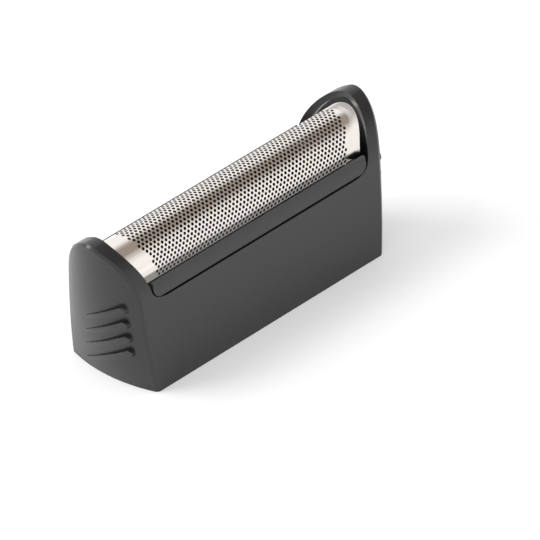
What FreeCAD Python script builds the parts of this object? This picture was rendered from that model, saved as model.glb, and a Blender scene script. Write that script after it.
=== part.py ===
import FreeCAD, Part
import math
import os
import re
import Sketcher
from FreeCAD import Placement, Rotation, Vector

# Shaver foil head: an arched, perforated foil on a moulded carrier, which sits in the window of an outer
# frame with two bowed, flared end caps.
# Millimetres. X runs along the head, Y is the depth with the front at -Y, Z is up.
# The origin is the middle of the frame's bottom rim.

# Sizes: the cell's name, its value or formula, and what it means
SIZES = [
    ("crown_height", 24.0, "crown of the end caps above the rim"),
    ("arch_rise", 8.5, "height of the arch, from the shoulder to the crown"),
    ("shoulder_height", "=crown_height - arch_rise", "height where the straight walls turn into the arch"),
    ("half_depth_base", 8.65, "half depth of the frame at the rim"),
    ("half_depth_shoulder", 7.19, "half depth of the frame at the shoulder"),
    ("shoulder_radius", 10.0, "radius of the arch between shoulder and crown"),
    ("half_length_base", 25.82, "half length at the rim, on the centre line"),
    ("flare_low", 1.67, "how far the ends have flared out a third of the way up"),
    ("flare_high", 2.58, "how far they have flared two thirds of the way up"),
    ("flare_crown", 3.2, "how far they have flared at the crown"),
    ("bow_base", 25.7, "plan radius of the end faces at the rim"),
    ("bow_low", 15.5, "plan radius a third of the way up"),
    ("bow_high", 11.5, "plan radius two thirds of the way up"),
    ("bow_crown", 9.0, "plan radius at the crown"),
    ("blank_overhang", 0.65, "how far the blank stands outside the long walls"),
    ("end_bevel", 0.35, "bevel between an end face and the walls"),
    ("frame_wall", 1.0, "wall of the long sides and of the arch"),
    ("end_wall", 1.2, "wall of the end faces"),
    ("sill_drop", 9.6, "depth of the window's sill below the crown"),
    ("window_sill", "=crown_height - sill_drop", "lower edge of the window in the long walls"),
    ("window_reach", 0.58, "how much longer the window is than the rim, at each end"),
    ("window_half_length", "=half_length_base + window_reach", "half length of the window, mid-depth"),
    ("window_corner", 1.8, "round in the window's lower corners"),
    ("window_overhang", 0.41, "how far the window's cut stands outside the shoulder"),
    ("window_side", "=half_depth_shoulder + window_overhang", "half depth of the window's cut"),
    ("window_bow_margin", 0.2, "how much flatter the window's ends are than its corners need"),
    ("window_bow", "=window_side + window_corner + window_bow_margin", "plan radius of the window's ends"),
    ("groove", 0.35, "gap between the window and the rails"),
    ("rail_inset", 0.05, "how far the rails sit in from the frame's face"),
    ("rail_height", 2.45, "height of the rails"),
    ("rail_wall", 0.8, "thickness of the rails at the shoulder's height"),
    ("rail_inner", "=half_depth_shoulder - rail_inset - rail_wall", "half depth between the rails"),
    ("rail_bottom", "=window_sill + groove", "underside of the rails and of the ring plate"),
    ("rail_top", "=rail_bottom + rail_height", "top of the rails"),
    ("ring_thickness", 0.55, "thickness of the ring plate between the rails"),
    ("ring_top", "=rail_bottom + ring_thickness", "top of the ring plate"),
    ("skirt_gap", 0.39, "gap between the skirt and the shoulder's wall"),
    ("skirt_half_depth", "=half_depth_shoulder - frame_wall - skirt_gap", "half depth of the skirt, outside"),
    ("skirt_setback", 1.42, "how much shorter the skirt is than the rim, at each end"),
    ("skirt_half_length", "=half_length_base - skirt_setback", "half length of the skirt, outside"),
    ("skirt_bow", "=window_bow", "plan radius of the skirt's ends"),
    ("skirt_depth", 5.15, "how far the skirt drops below the rails"),
    ("skirt_bottom", "=rail_bottom - skirt_depth", "lower edge of the skirt"),
    ("skirt_wall", 1.0, "wall of the skirt along the long sides"),
    ("bulkhead_wall", 1.5, "thickness of the arched bulkheads"),
    ("foil_drop", 2.1, "depth of the foil's crown below the frame's crown"),
    ("foil_top", "=crown_height - foil_drop", "height of the foil's crown"),
    ("foil_thickness", 0.08, "thickness of the foil"),
    ("foil_clearance", 0.1, "gap between the foil and the carrier"),
    ("foil_margin", 0.45, "gap between the foil's legs and the skirt"),
    ("foil_half_depth", "=skirt_half_depth - skirt_wall - foil_margin", "half depth of the foil"),
    ("foil_side_radius", 6.28, "outer radius of the foil's side arcs"),
    ("foil_turn", 47.0, "degrees from the crown to where the side arcs start"),
    ("foil_narrowing", "=(foil_side_radius - foil_half_depth) / sin(foil_turn * 1deg)",
     "how much smaller the crown arc's radius is"),
    ("foil_crown_radius", "=foil_side_radius - foil_narrowing", "outer radius of the foil's crown arc"),
    ("foil_axis", "=foil_top - foil_crown_radius", "height of the crown arc's centre"),
    ("foil_leg", 2.7, "how far the foil's legs reach below the ring plate's top"),
    ("foil_edge", "=ring_top - foil_leg", "height of the foil's lower edges"),
    ("foil_reach", 0.71, "how much longer the foil is than the rim, at each end"),
    ("foil_half_length", "=half_length_base + foil_reach", "half length of the foil on the centre line"),
    ("foil_bow_margin", 1.2, "how much flatter the foil's ends are than half round"),
    ("foil_bow", "=foil_half_depth + foil_bow_margin", "plan radius of the foil's ends"),
    ("leg_setback", 1.5, "from the bulkheads to the ends of the foil's legs"),
    ("leg_half_length", "=skirt_half_length - bulkhead_wall - leg_setback", "half length of the foil's legs"),
    ("notch_lift", 0.4, "height of the foil's end corners above the ring plate"),
    ("cell_pitch", 3.4, "spacing of the perforations along the foil"),
    ("cell_across", 2.1, "width of a perforation across its corners"),
    ("cell_rows", 5, "rows of perforations round the arch, an odd number"),
    ("cell_columns", 13, "perforations in the longer rows"),
    ("cell_row_angle", 36.0, "angle between two rows round the crown arc's centre"),
    ("stud_length", 1.2, "length of the studs that the foil is staked on"),
    ("stud_thickness", 0.7, "thickness of the studs"),
    ("stud_lift", 0.9, "height of the studs above the foil's lower edges"),
    ("stud_height", "=foil_edge + stud_lift", "height of the studs' middles"),
    ("stud_count", 6, "studs on each side of the skirt"),
    ("stud_setback", 6.0, "from the skirt's end to the middle of the last stud"),
    ("stud_spacing", "=2 * (skirt_half_length - stud_setback) / (stud_count - 1)", "spacing of the studs"),
    ("stud_proud", 0.35, "how far a stud stands out inside the foil"),
    ("lug_spacing", 20.0, "spacing of the snap lugs along a side"),
    ("lug_length", 6.0, "length of a snap lug"),
    ("lug_lift", 0.6, "height of the lugs above the skirt's lower edge"),
    ("lug_height", 1.3, "height of a snap lug"),
    ("lug_reach", 0.5, "how far a lug stands out from the skirt"),
    ("rib_height", 0.9, "height of the frame's catch ribs"),
    ("rib_overlap", 0.25, "how far a catch rib reaches over its lug"),
    ("seat_clearance", 0.1, "gap between a lug and the catch rib above it"),
    ("shelf_spacing", 34.0, "spacing of the shelves along a side"),
    ("shelf_length", 4.0, "length of a shelf"),
    ("shelf_height", 1.2, "height of a shelf"),
    ("shelf_reach", 0.9, "how far a shelf reaches under the skirt"),
    ("nose_height", 1.4, "height of the catch noses on the end walls"),
    ("nose_length", 6.0, "length of a catch nose"),
    ("nose_reach", 0.8, "how far a catch nose stands out"),
    ("nose_bottom", 2.2, "lower edge of the catch noses"),
    ("guide_spacing", 30.0, "spacing of the guide ribs along a side"),
    ("guide_width", 0.9, "width of a guide rib"),
    ("guide_reach", 0.6, "how far a guide rib stands out at its upper end"),
    ("guide_bottom", 0.8, "lower end of the guide ribs"),
    ("guide_top", 7.6, "upper end of the guide ribs"),
    ("grip_count", 4, "teardrop grips on each end"),
    ("grip_top", 14.2, "height of the uppermost grip's head"),
    ("grip_pitch", 2.55, "spacing of the grips"),
    ("grip_head_radius", 0.62, "radius of a grip's head"),
    ("grip_tail_radius", 0.28, "radius at the tip of a grip's tail"),
    ("grip_head_offset", 5.1, "distance of the top grip's head from the centre line, to the front"),
    ("grip_step", 0.12, "how much nearer the corner each head is than the one above"),
    ("grip_length", 7.9, "length of the top grip from head to tip"),
    ("grip_growth", 0.9, "how much longer each grip is than the one above"),
    ("grip_slant", 28.0, "slope of the grips in degrees, down to the back"),
    ("grip_proud", 0.3, "how far the grips stand out at the centre line"),
    ("grip_shift", 1.0, "shift of the grips' face to the front, which makes the heads prouder"),
]

NODES = ("outer_frame", "foil_carrier", "foil")
ALIASES = {name for name, value, meaning in SIZES}
END_ON = Rotation(0.5, 0.5, 0.5, 0.5)
STANDING = Rotation(Vector(1, 0, 0), 90)
UP = Vector(0, 0, 1)
ORIGIN = (-1, 1)
AXIS = {"across": -1, "up": -2}
FOOT = "1"
LEAN = "((half_depth_base - half_depth_shoulder) / shoulder_height)"
SIDES = (("front", -1), ("back", 1))
ENDS = (("left", -1), ("right", 1))


def make_sheet(doc):
    sheet = doc.addObject("Spreadsheet::Sheet", "sizes")
    for row, (name, value, meaning) in enumerate(SIZES, start=1):
        sheet.set("A%d" % row, name)
        sheet.set("B%d" % row, str(value))
        sheet.set("C%d" % row, meaning)
        sheet.setAlias("B%d" % row, name)
    doc.recompute()


def in_sheet(expression):
    """The expression with the sheet's name before each size."""
    return re.sub("[a-z_]+", lambda word: "sizes." + word[0] if word[0] in ALIASES else word[0], expression)


def bind(thing, prop, expression):
    thing.setExpression(prop, in_sheet(expression))


def value_of(doc, expression):
    """The value of an expression now, for counts, rounds and a sketch's first shape."""
    return float(doc.getObject("sizes").evalExpression(in_sheet(expression)))


# Sketch helpers

def new_sketch(doc, name, rotation=Rotation(), height=None):
    sketch = doc.addObject("Sketcher::SketchObject", name)
    sketch.Placement = Placement(Vector(0, 0, 0), rotation)
    if height:
        bind(sketch, "Placement.Base.z", height)
    return sketch


def dimension(sketch, name, kind, *places_and_expression):
    """A named dimension of a sketch, bound to an expression."""
    *places, expression = places_and_expression
    index = sketch.addConstraint(Sketcher.Constraint(kind, *places, value_of(sketch.Document, expression)))
    sketch.renameConstraint(index, name)
    bind(sketch, "Constraints." + name, expression)


def tie(sketch, kind, *places):
    sketch.addConstraint(Sketcher.Constraint(kind, *places))


def arc(across, up, radius, start, end):
    return Part.ArcOfCircle(Part.Circle(Vector(across, up, 0), UP, radius), start, end)


def draw_bowed_plan(sketch, half_length, bow, half_depth):
    """Two straight sides and two bowed ends, centred on the origin."""
    doc = sketch.Document
    radius = value_of(doc, bow)
    side = value_of(doc, half_depth)
    centre = value_of(doc, half_length) - radius
    spread = math.asin(side / radius)
    corner = centre + radius * math.cos(spread)
    sketch.addGeometry(arc(centre, 0, radius, -spread, spread))
    sketch.addGeometry(Part.LineSegment(Vector(corner, side, 0), Vector(-corner, side, 0)))
    sketch.addGeometry(arc(-centre, 0, radius, math.pi - spread, math.pi + spread))
    sketch.addGeometry(Part.LineSegment(Vector(-corner, -side, 0), Vector(corner, -side, 0)))
    for piece in range(4):
        tie(sketch, "Coincident", piece, 2, (piece + 1) % 4, 1)
    tie(sketch, "Symmetric", 1, 1, 1, 2, AXIS["up"])
    tie(sketch, "Horizontal", 3)
    tie(sketch, "PointOnObject", 0, 3, AXIS["across"])
    tie(sketch, "PointOnObject", 2, 3, AXIS["across"])
    tie(sketch, "Equal", 0, 2)
    dimension(sketch, "bow", "Radius", 0, bow)
    dimension(sketch, "back", "DistanceY", *ORIGIN, 1, 1, half_depth)
    dimension(sketch, "front", "DistanceY", 3, 1, *ORIGIN, half_depth)
    dimension(sketch, "corner", "DistanceX", *ORIGIN, 1, 1,
              "%s - (%s) + sqrt((%s)^2 - (%s)^2)" % (half_length, bow, bow, half_depth))


def draw_arch(sketch, inset):
    """The end-on outline of the frame: leaning walls, two shoulder arcs and a crown arc."""
    doc = sketch.Document
    shoulder_y = "(half_depth_shoulder - (%s) * cos(atan(%s)))" % (inset, LEAN)
    shoulder_z = "(shoulder_height - (%s) * sin(atan(%s)))" % (inset, LEAN)
    foot_y = "(%s + (%s + %s) * %s)" % (shoulder_y, shoulder_z, FOOT, LEAN)
    crown_z = "(crown_height - (%s))" % inset
    radius = "(shoulder_radius - (%s))" % inset
    lean = math.atan(value_of(doc, LEAN))
    turn = value_of(doc, radius)
    shoulder = Vector(value_of(doc, shoulder_y), value_of(doc, shoulder_z), 0)
    foot = Vector(value_of(doc, foot_y), -value_of(doc, FOOT), 0)
    centre = shoulder - Vector(math.cos(lean), math.sin(lean), 0) * turn
    top = value_of(doc, crown_z)
    rise = top - centre.y
    crown_radius = (turn ** 2 - centre.x ** 2 - rise ** 2) / (2 * (turn - rise))
    angle = math.atan2(top - crown_radius - centre.y, -centre.x)
    far_shoulder = Vector(-shoulder.x, shoulder.y, 0)
    far_foot = Vector(-foot.x, foot.y, 0)
    sketch.addGeometry(Part.LineSegment(foot, shoulder))
    sketch.addGeometry(arc(centre.x, centre.y, turn, lean, angle))
    sketch.addGeometry(arc(0, top - crown_radius, crown_radius, angle, math.pi - angle))
    sketch.addGeometry(arc(-centre.x, centre.y, turn, math.pi - angle, math.pi - lean))
    sketch.addGeometry(Part.LineSegment(far_shoulder, far_foot))
    sketch.addGeometry(Part.LineSegment(far_foot, foot))
    sketch.addGeometry(Part.Point(Vector(0, top, 0)), True)
    for piece in range(4):
        tie(sketch, "Tangent", piece, 2, piece + 1, 1)
    tie(sketch, "Coincident", 4, 2, 5, 1)
    tie(sketch, "Coincident", 5, 2, 0, 1)
    tie(sketch, "Symmetric", 0, 1, 5, 1, AXIS["up"])
    tie(sketch, "Symmetric", 0, 2, 3, 2, AXIS["up"])
    tie(sketch, "Equal", 1, 3)
    tie(sketch, "PointOnObject", 6, 1, 2)
    tie(sketch, "PointOnObject", 6, 1, AXIS["up"])
    dimension(sketch, "crown", "DistanceY", *ORIGIN, 6, 1, crown_z)
    dimension(sketch, "turn", "Radius", 1, radius)
    dimension(sketch, "shoulder_y", "DistanceX", *ORIGIN, 0, 2, shoulder_y)
    dimension(sketch, "shoulder_z", "DistanceY", *ORIGIN, 0, 2, shoulder_z)
    dimension(sketch, "foot_y", "DistanceX", *ORIGIN, 0, 1, foot_y)
    dimension(sketch, "foot_z", "DistanceY", 0, 1, *ORIGIN, FOOT)


def draw_foil_arch(sketch, name, inset, foot):
    """The foil end on, round its crown arc's centre: two legs, two side arcs and the crown arc."""
    doc = sketch.Document
    first = sketch.GeometryCount
    crown = value_of(doc, "foil_crown_radius - (%s)" % inset)
    side = value_of(doc, "foil_side_radius - (%s)" % inset)
    reach = value_of(doc, "foil_half_depth - (%s)" % inset)
    depth = "foil_axis - (%s)" % foot
    low = -value_of(doc, depth)
    turn = math.radians(value_of(doc, "foil_turn"))
    across = (side - crown) * math.sin(turn)
    down = (side - crown) * math.cos(turn)
    start = math.pi / 2 - turn
    sketch.addGeometry(Part.LineSegment(Vector(reach, low, 0), Vector(reach, -down, 0)))
    sketch.addGeometry(arc(-across, -down, side, 0, start))
    sketch.addGeometry(arc(0, 0, crown, start, math.pi - start))
    sketch.addGeometry(arc(across, -down, side, math.pi - start, math.pi))
    sketch.addGeometry(Part.LineSegment(Vector(-reach, -down, 0), Vector(-reach, low, 0)))
    for piece in range(first, first + 4):
        tie(sketch, "Tangent", piece, 2, piece + 1, 1)
    tie(sketch, "Vertical", first)
    tie(sketch, "Vertical", first + 4)
    tie(sketch, "Equal", first + 1, first + 3)
    tie(sketch, "Coincident", first + 2, 3, *ORIGIN)
    tie(sketch, "Symmetric", first, 1, first + 4, 2, AXIS["up"])
    dimension(sketch, name + "_crown", "Radius", first + 2, "foil_crown_radius - (%s)" % inset)
    dimension(sketch, name + "_side", "Radius", first + 1, "foil_side_radius - (%s)" % inset)
    dimension(sketch, name + "_reach", "DistanceX", *ORIGIN, first, 1, "foil_half_depth - (%s)" % inset)
    dimension(sketch, name + "_depth", "DistanceY", first, 1, *ORIGIN, depth)
    return first


def join_feet(sketch, first_end, second_end):
    """A line between two ends of what the sketch holds, each given as its number and its end."""
    line = sketch.addGeometry(Part.LineSegment(sketch.getPoint(*first_end), sketch.getPoint(*second_end)))
    tie(sketch, "Coincident", line, 1, *first_end)
    tie(sketch, "Coincident", line, 2, *second_end)


# Solid helpers

def extrude(doc, name, sketch, length, both_ways=False):
    solid = doc.addObject("Part::Extrusion", name)
    solid.Base = sketch
    solid.DirMode = "Normal"
    solid.Solid = True
    solid.Symmetric = both_ways
    bind(solid, "LengthFwd", length)
    return solid


def combine(doc, name, kind, pieces):
    solid = doc.addObject("Part::Multi" + kind, name)
    solid.Shapes = pieces
    return solid


def cut(doc, name, base, tool):
    solid = doc.addObject("Part::Cut", name)
    solid.Base = base
    solid.Tool = tool
    return solid


def box(doc, name, low, high):
    """A box between two corners, each given as three expressions."""
    solid = doc.addObject("Part::Box", name)
    for side, axis, start, end in zip(("Length", "Width", "Height"), "xyz", low, high):
        bind(solid, side, "(%s) - (%s)" % (end, start))
        bind(solid, "Placement.Base." + axis, start)
    return solid


def plan_block(doc, name, half_length, bow, half_depth, bottom, top):
    sketch = new_sketch(doc, name + "_plan", height=bottom)
    draw_bowed_plan(sketch, half_length, bow, half_depth)
    return extrude(doc, name, sketch, "(%s) - (%s)" % (top, bottom))


def frame_form(doc, name, inset, end_inset, foot="0"):
    """The frame's flared and bowed outer form, set in by a wall."""
    sections = []
    levels = (("0", "bow_base"), ("flare_low", "bow_low"), ("flare_high", "bow_high"),
              ("flare_crown", "bow_crown"))
    for level, (flare, bow) in enumerate(levels):
        share = "%d / 3" % level
        height = "crown_height * %s" % share if level else "-(%s)" % foot
        side = "half_depth_base + (half_depth_shoulder - half_depth_base) * %s" % share
        side += " + blank_overhang - (%s)" % inset
        sketch = new_sketch(doc, "%s_level_%d" % (name, level), height=height)
        draw_bowed_plan(sketch, "half_length_base + %s - (%s)" % (flare, end_inset),
                        "%s - (%s)" % (bow, end_inset), side)
        sections.append(sketch)
    blank = doc.addObject("Part::Loft", name + "_blank")
    blank.Sections = sections
    blank.Solid = True
    blank.Ruled = False
    arch = new_sketch(doc, name + "_arch", END_ON)
    draw_arch(arch, inset)
    tunnel = extrude(doc, name + "_tunnel", arch, "3 * half_length_base", both_ways=True)
    return combine(doc, name, "Common", [blank, tunnel])


def soften(doc, name, kind, base, size, chosen):
    """Fillet or chamfer the edges that chosen picks, by one size."""
    doc.recompute()
    reach = value_of(doc, size)
    solid = doc.addObject("Part::" + kind, name)
    solid.Base = base
    edges = enumerate(base.Shape.Edges, start=1)
    solid.Edges = [(index, reach, reach) for index, edge in edges if chosen(edge)]
    return solid


# Outer frame

def bevel_ends(doc, name, form):
    """A bevel all round each end face, except along the rim."""
    shoulder = value_of(doc, "shoulder_height")
    half_length = value_of(doc, "half_length_base")

    def at_an_end(edge):
        runs_along = edge.BoundBox.XLength > half_length / 2
        at_the_rim = edge.BoundBox.ZMax < shoulder / 2
        return not runs_along and not at_the_rim

    return soften(doc, name, "Chamfer", form, "end_bevel", at_an_end)


def make_window(doc):
    """The window's form: a block with bowed ends and rounded lower corners."""
    block = plan_block(doc, "window_block", "window_half_length", "window_bow", "window_side",
                       "window_sill", "crown_height + window_corner")
    sill = value_of(doc, "window_sill")

    def bowed_at_the_sill(edge):
        return edge.Curve.TypeId == "Part::GeomCircle" and edge.BoundBox.ZMax < sill + 1

    return soften(doc, "window", "Fillet", block, "window_corner", bowed_at_the_sill)


def frame_fittings(doc):
    """Shelves, catch ribs, guide ribs and catch noses, as blocks that run into the walls."""
    pieces = []
    rib_bottom = "skirt_bottom + lug_lift + lug_height + seat_clearance"
    rib_face = "skirt_half_depth + lug_reach - rib_overlap"
    shelf_face = "skirt_half_depth - shelf_reach"
    guide_face = "half_depth_base - guide_top * %s - frame_wall - guide_reach" % LEAN
    for side_name, side in SIDES:
        for end_name, end in ENDS:
            where = "%s_%s" % (side_name, end_name)
            shelf_middle = "%d * shelf_spacing / 2" % end
            lug_middle = "%d * lug_spacing / 2" % end
            guide_middle = "%d * guide_spacing / 2" % end
            pieces.append(side_block(doc, "shelf_" + where, side, shelf_middle, "shelf_length",
                                     shelf_face, "skirt_bottom - shelf_height", "skirt_bottom"))
            pieces.append(side_block(doc, "catch_rib_" + where, side, lug_middle, "lug_length",
                                     rib_face, rib_bottom, rib_bottom + " + rib_height"))
            pieces.append(side_block(doc, "guide_rib_" + where, side, guide_middle, "guide_width",
                                     guide_face, "guide_bottom", "guide_top"))
    for end_name, end in ENDS:
        face = "half_length_base - end_wall - nose_reach"
        outer = "half_length_base + flare_crown"
        low_x, high_x = (face, outer) if end > 0 else ("-(%s)" % outer, "-(%s)" % face)
        pieces.append(box(doc, "catch_nose_" + end_name, (low_x, "-nose_length / 2", "nose_bottom"),
                          (high_x, "nose_length / 2", "nose_bottom + nose_height")))
    return pieces


def side_block(doc, name, side, middle, length, face, bottom, top):
    """A block that stands on the inside of a long wall, from its face outwards through the wall."""
    start = "%s - %s / 2" % (middle, length)
    end = "%s + %s / 2" % (middle, length)
    if side > 0:
        return box(doc, name, (start, face, bottom), (end, "half_depth_base", top))
    return box(doc, name, (start, "-half_depth_base", bottom), (end, "-(%s)" % face, top))


def grip_prism(doc, end, index):
    """A teardrop, drawn end on and run outwards through one end wall."""
    name = "grip_%s_%d" % ("left" if end < 0 else "right", index + 1)
    length = "(grip_length + %d * grip_growth)" % index
    sketch = new_sketch(doc, name + "_outline", END_ON, "grip_top - %d * grip_pitch" % index)
    bind(sketch, "Placement.Base.y", "-(grip_head_offset + %d * grip_step)" % index)
    head = value_of(doc, "grip_head_radius")
    tail = value_of(doc, "grip_tail_radius")
    reach = value_of(doc, length)
    aim = -math.radians(value_of(doc, "grip_slant"))
    spread = math.acos((head - tail) / reach)
    tip = Vector(math.cos(aim), math.sin(aim), 0) * reach

    def on_circle(centre, radius, angle):
        return centre + Vector(math.cos(angle), math.sin(angle), 0) * radius

    left = aim + spread
    right = aim - spread
    sketch.addGeometry(arc(0, 0, head, left, right + 2 * math.pi))
    sketch.addGeometry(Part.LineSegment(on_circle(Vector(), head, right), on_circle(tip, tail, right)))
    sketch.addGeometry(arc(tip.x, tip.y, tail, right, left))
    sketch.addGeometry(Part.LineSegment(on_circle(tip, tail, left), on_circle(Vector(), head, left)))
    for piece in range(4):
        tie(sketch, "Tangent", piece, 2, (piece + 1) % 4, 1)
    tie(sketch, "Coincident", 0, 3, *ORIGIN)
    dimension(sketch, "head", "Radius", 0, "grip_head_radius")
    dimension(sketch, "tail", "Radius", 2, "grip_tail_radius")
    dimension(sketch, "tip_across", "DistanceX", *ORIGIN, 2, 3, length + " * cos(grip_slant * 1deg)")
    dimension(sketch, "tip_down", "DistanceY", 2, 3, *ORIGIN, length + " * sin(grip_slant * 1deg)")
    prism = extrude(doc, name, sketch, "half_length_base + 2 * flare_crown")
    prism.Reversed = end < 0
    return prism


def make_grips(doc, wall_middle):
    """Teardrops that follow the end faces, proudest at their heads, rooted in the end walls."""
    count = int(value_of(doc, "grip_count"))
    prisms = [grip_prism(doc, end, index) for end in (-1, 1) for index in range(count)]
    face = frame_form(doc, "grip_face", "0", "-grip_proud")
    bind(face, "Placement.Base.y", "-grip_shift")
    teardrops = combine(doc, "teardrops", "Fuse", prisms)
    trimmed = combine(doc, "trimmed_teardrops", "Common", [teardrops, face])
    return cut(doc, "grips", trimmed, wall_middle)


def make_outer_frame(doc):
    outer = frame_form(doc, "outer_form", "0", "0")
    bevelled = bevel_ends(doc, "bevelled_form", outer)
    cavity = frame_form(doc, "cavity", "frame_wall", "end_wall", foot=FOOT)
    shell = cut(doc, "shell", bevelled, cavity)
    opened = cut(doc, "opened_shell", shell, make_window(doc))
    middle = frame_form(doc, "wall_middle", "frame_wall / 2", "end_wall / 2")
    fittings = combine(doc, "fittings", "Fuse", frame_fittings(doc))
    seated = combine(doc, "seated_fittings", "Common", [fittings, middle])
    grips = make_grips(doc, middle)
    return combine(doc, "frame_with_fittings", "Fuse", [opened, seated, grips])


# Foil carrier

def draw_rail_profile(sketch):
    """A rectangle with two rounded lower corners, seen from the front."""
    doc = sketch.Document
    half_length = "window_half_length - window_bow + sqrt(window_bow^2 - half_depth_shoulder^2) - groove"
    corner = "(window_corner - groove)"
    reach = value_of(doc, half_length)
    turn = value_of(doc, corner)
    low = value_of(doc, "rail_bottom")
    high = value_of(doc, "rail_top")
    sketch.addGeometry(Part.LineSegment(Vector(turn - reach, low, 0), Vector(reach - turn, low, 0)))
    sketch.addGeometry(arc(reach - turn, low + turn, turn, -math.pi / 2, 0))
    sketch.addGeometry(Part.LineSegment(Vector(reach, low + turn, 0), Vector(reach, high, 0)))
    sketch.addGeometry(Part.LineSegment(Vector(reach, high, 0), Vector(-reach, high, 0)))
    sketch.addGeometry(Part.LineSegment(Vector(-reach, high, 0), Vector(-reach, low + turn, 0)))
    sketch.addGeometry(arc(turn - reach, low + turn, turn, math.pi, 3 * math.pi / 2))
    tie(sketch, "Tangent", 0, 2, 1, 1)
    tie(sketch, "Tangent", 1, 2, 2, 1)
    tie(sketch, "Coincident", 2, 2, 3, 1)
    tie(sketch, "Coincident", 3, 2, 4, 1)
    tie(sketch, "Tangent", 4, 2, 5, 1)
    tie(sketch, "Tangent", 5, 2, 0, 1)
    tie(sketch, "Symmetric", 3, 1, 3, 2, AXIS["up"])
    tie(sketch, "Vertical", 2)
    tie(sketch, "Vertical", 4)
    tie(sketch, "Equal", 1, 5)
    dimension(sketch, "corner", "Radius", 1, corner)
    dimension(sketch, "half_length", "DistanceX", *ORIGIN, 3, 1, half_length)
    dimension(sketch, "top", "DistanceY", *ORIGIN, 3, 1, "rail_top")
    dimension(sketch, "bottom", "DistanceY", *ORIGIN, 0, 1, "rail_bottom")


def make_rails(doc):
    """Two thin rails that stand on a ring plate."""
    form = frame_form(doc, "rail_form", "rail_inset", "rail_inset")
    profile = new_sketch(doc, "rail_profile", STANDING)
    draw_rail_profile(profile)
    block = extrude(doc, "rail_block", profile, "2 * half_depth_base", both_ways=True)
    shaped = combine(doc, "rails_and_ring", "Common", [form, block])
    between = box(doc, "between_rails", ("-window_half_length", "-rail_inner", "ring_top"),
                  ("window_half_length", "rail_inner", "crown_height"))
    return cut(doc, "rails", shaped, between)


def make_bulkheads(doc):
    """An arched wall under each end of the foil, on the skirt's ends."""
    block = plan_block(doc, "end_block", "skirt_half_length", "skirt_bow", "skirt_half_depth",
                       "rail_bottom", "crown_height")
    space = plan_block(doc, "end_space", "skirt_half_length - bulkhead_wall", "skirt_bow - bulkhead_wall",
                       "skirt_half_depth + foil_clearance", "window_sill", "crown_height + groove")
    walls = cut(doc, "end_walls", block, space)
    arch = new_sketch(doc, "under_foil_arch", END_ON, "foil_axis")
    chain = draw_foil_arch(arch, "under", "foil_thickness + foil_clearance", "rail_bottom")
    join_feet(arch, (chain, 1), (chain + 4, 2))
    under_foil = extrude(doc, "under_foil", arch, "2 * window_half_length", both_ways=True)
    return combine(doc, "bulkheads", "Common", [walls, under_foil])


def make_lugs(doc):
    lugs = []
    near = "skirt_half_depth - skirt_wall / 2"
    far = "skirt_half_depth + lug_reach"
    low = "skirt_bottom + lug_lift"
    for side_name, side in SIDES:
        for end_name, end in ENDS:
            middle = "%d * lug_spacing / 2" % end
            low_y, high_y = (near, far) if side > 0 else ("-(%s)" % far, "-(%s)" % near)
            lugs.append(box(doc, "lug_%s_%s" % (side_name, end_name),
                            ("%s - lug_length / 2" % middle, low_y, low),
                            ("%s + lug_length / 2" % middle, high_y, low + " + lug_height")))
    return lugs


def make_studs(doc):
    """Studs inside the skirt, which reach in through the slots in the foil's legs."""
    studs = []
    near = "foil_half_depth - foil_thickness - stud_proud"
    far = "skirt_half_depth - skirt_wall / 2"
    low = "stud_height - stud_thickness / 2"
    high = "stud_height + stud_thickness / 2"
    for side_name, side in SIDES:
        low_y, high_y = (near, far) if side > 0 else ("-(%s)" % far, "-(%s)" % near)
        for index in range(int(value_of(doc, "stud_count"))):
            middle = "(%d - (stud_count - 1) / 2) * stud_spacing" % index
            studs.append(box(doc, "stud_%s_%d" % (side_name, index + 1),
                             (middle + " - stud_length / 2", low_y, low),
                             (middle + " + stud_length / 2", high_y, high)))
    return studs


def make_foil_carrier(doc):
    skirt = plan_block(doc, "skirt", "skirt_half_length", "skirt_bow", "skirt_half_depth", "skirt_bottom",
                       "ring_top")
    solid = combine(doc, "carrier_solid", "Fuse", [make_rails(doc), skirt, make_bulkheads(doc)])
    hollow = plan_block(doc, "hollow", "skirt_half_length - bulkhead_wall", "skirt_bow - bulkhead_wall",
                        "skirt_half_depth - skirt_wall", "skirt_bottom - groove", "crown_height")
    ring = cut(doc, "carrier_ring", solid, hollow)
    return combine(doc, "carrier_body", "Fuse", [ring] + make_lugs(doc) + make_studs(doc))


# Foil

def origin_feature(body, role):
    return [feature for feature in body.Origin.OriginFeatures if feature.Role == role][0]


def body_sketch(body, name, role):
    sketch = body.newObject("Sketcher::SketchObject", name)
    sketch.AttachmentSupport = [(origin_feature(body, role), "")]
    sketch.MapMode = "FlatFace"
    body.Document.recompute()
    return sketch


def draw_foil_band(sketch):
    """The foil seen end on, from one lower edge over the top to the other."""
    outside = draw_foil_arch(sketch, "outside", "0", "foil_edge")
    inside = draw_foil_arch(sketch, "inside", "foil_thickness", "foil_edge")
    join_feet(sketch, (outside, 1), (inside, 1))
    join_feet(sketch, (outside + 4, 2), (inside + 4, 2))


def draw_rectangle(sketch, half_width, half_height):
    """A rectangle centred on the origin, beside what the sketch already holds."""
    doc = sketch.Document
    first = sketch.GeometryCount
    wide = value_of(doc, half_width)
    high = value_of(doc, half_height)
    corners = [Vector(wide, high, 0), Vector(-wide, high, 0), Vector(-wide, -high, 0), Vector(wide, -high, 0)]
    for step in range(4):
        sketch.addGeometry(Part.LineSegment(corners[step], corners[(step + 1) % 4]))
    for step in range(4):
        tie(sketch, "Coincident", first + step, 2, first + (step + 1) % 4, 1)
        tie(sketch, "Vertical" if step % 2 else "Horizontal", first + step)
    tie(sketch, "Symmetric", first, 1, first + 2, 1, *ORIGIN)
    dimension(sketch, "half_width", "DistanceX", *ORIGIN, first, 1, half_width)
    dimension(sketch, "half_height", "DistanceY", *ORIGIN, first, 1, half_height)


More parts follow.
